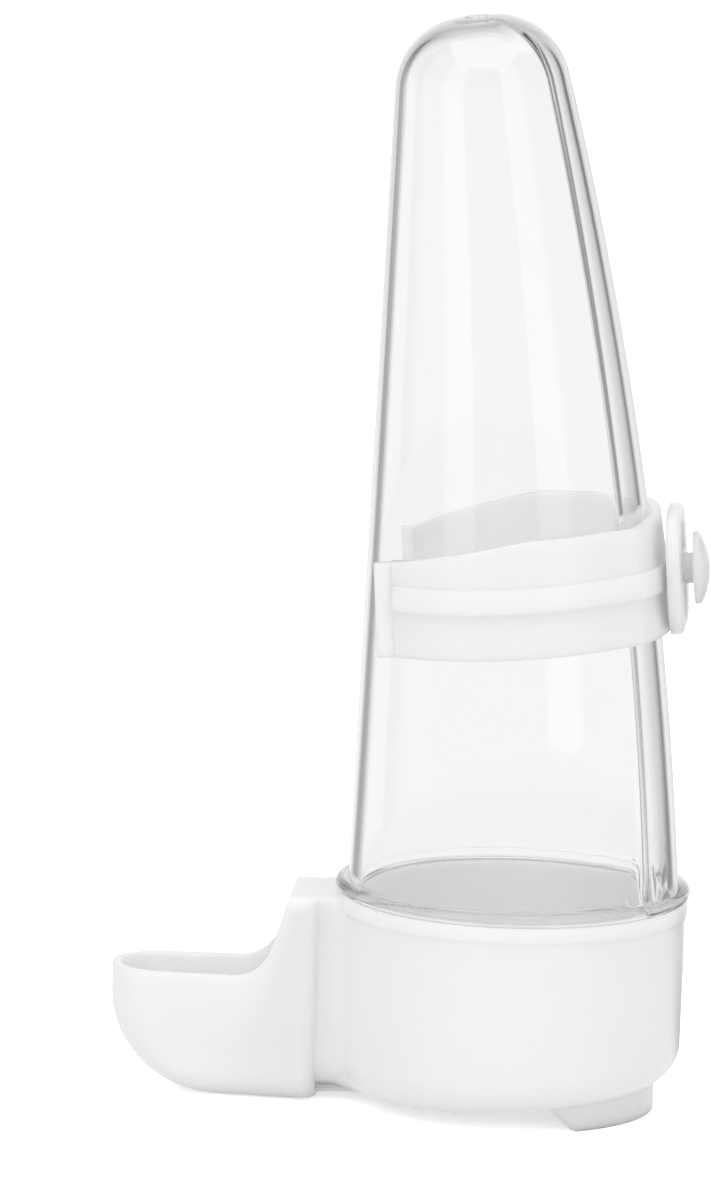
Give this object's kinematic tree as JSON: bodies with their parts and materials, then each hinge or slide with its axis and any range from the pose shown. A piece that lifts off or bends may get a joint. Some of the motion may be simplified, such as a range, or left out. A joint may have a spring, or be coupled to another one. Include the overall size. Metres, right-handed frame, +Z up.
{
  "type": "bird cage waterer",
  "caption": "Siphon drinker for a bird cage: clear tapered bottle mouth down in a white cup with a drinking trough, with a white button clip for cage wires.",
  "frame": {"origin": "on the table under the middle of the length, from the trough's tip to the clip's button", "axes": "+Z up along the bottle, +X away from the trough towards the clip's button, +Y across"},
  "size_m": [0.088, 0.0532, 0.1651],
  "materials": {
    "clear_plastic": "clear and glossy",
    "white_plastic": "white and glossy"
  },
  "bodies": {
    "root": {"water_tube": "clear_plastic", "base_cup": "white_plastic", "cage_clip": "white_plastic"}
  },
  "joints": []
}
